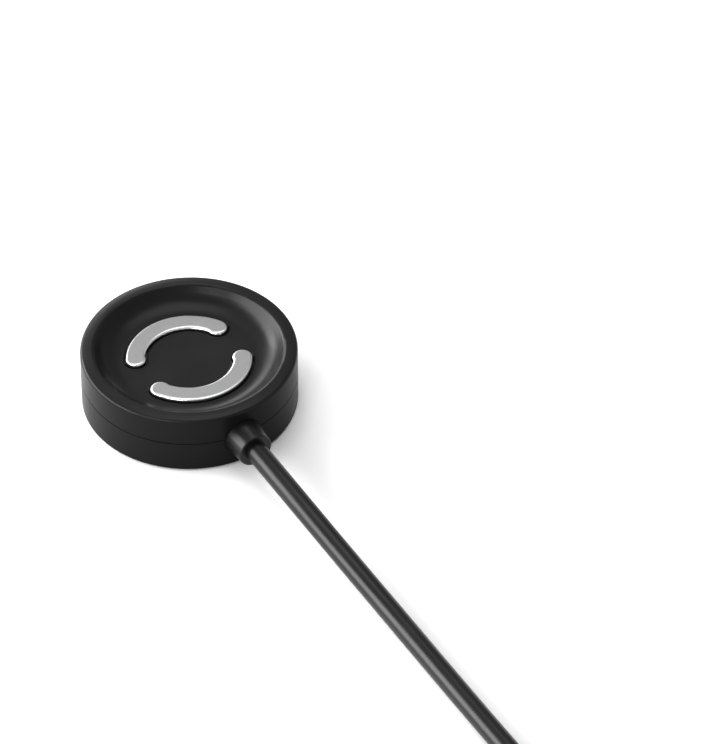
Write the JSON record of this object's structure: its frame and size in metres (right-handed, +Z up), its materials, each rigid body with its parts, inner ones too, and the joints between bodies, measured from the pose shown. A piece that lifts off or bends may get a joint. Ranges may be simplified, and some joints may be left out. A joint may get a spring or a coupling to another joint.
{
  "type": "smartwatch charging dock",
  "caption": "Round dished magnetic dock with two sprung arc-shaped contact plates, a cord wound into an oblong hank and a flat power plug.",
  "frame": {"origin": "centre of the dock's foot, on the surface that it stands on", "axes": "+Z up through the dish; the cord leaves the dock along -Y"},
  "size_m": [0.0494, 0.1717, 0.0139],
  "materials": {
    "housing": "fine satin moulding, near black",
    "plate_metal": "satin plated, edges polished by the blanking",
    "cord_jacket": "smooth soft jacket, slightly glossy",
    "spring_metal": "bright rolled strip",
    "board": "green solder resist",
    "chip": "fired ceramic",
    "magnet": "nickel plated",
    "yoke": "rolled sheet",
    "wire_red": "smooth insulation",
    "wire_black": "smooth insulation",
    "pad_rubber": "matt, slightly grippy",
    "tie_fabric": "woven band",
    "plug_mould": "fine satin moulding",
    "plug_metal": "nickel plated sheet",
    "insulator": "smooth white moulding",
    "contact_gold": "gold plated"
  },
  "bodies": {
    "dock": {"top_housing": "housing", "bottom_cover": "housing", "strain_relief": "cord_jacket", "cord_run": "cord_jacket", "cord_hank": "cord_jacket", "cord_tail": "cord_jacket", "contact_spring_1": "spring_metal", "contact_spring_2": "spring_metal", "contact_spring_3": "spring_metal", "contact_spring_4": "spring_metal", "circuit_board": "board", "board_fuse": "chip", "board_capacitor": "chip", "magnet": "magnet", "magnet_yoke": "yoke", "wire_positive": "wire_red", "wire_negative": "wire_black", "base_pad": "pad_rubber", "cord_tie": "tie_fabric", "plug_grip": "plug_mould", "plug_shell": "plug_metal", "plug_tongue": "insulator", "plug_contact_1": "contact_gold", "plug_contact_2": "contact_gold", "plug_contact_3": "contact_gold", "plug_contact_4": "contact_gold"},
    "plate_front": {"contact_plate_front": "plate_metal"},
    "plate_rear": {"contact_plate_rear": "plate_metal"}
  },
  "joints": [
    {"name": "plate_front_press", "type": "slide", "parent": "dock", "child": "plate_front", "axis": [0, 0, -1], "range_m": [0, 0.0004], "stiffness_N_per_m": 1000, "springref_m": -0.0005, "deforming": ["contact_spring_1", "contact_spring_4"]},
    {"name": "plate_rear_press", "type": "slide", "parent": "dock", "child": "plate_rear", "axis": [0, 0, -1], "range_m": [0, 0.0004], "stiffness_N_per_m": 1000, "springref_m": -0.0005, "deforming": ["contact_spring_2", "contact_spring_3"]}
  ]
}
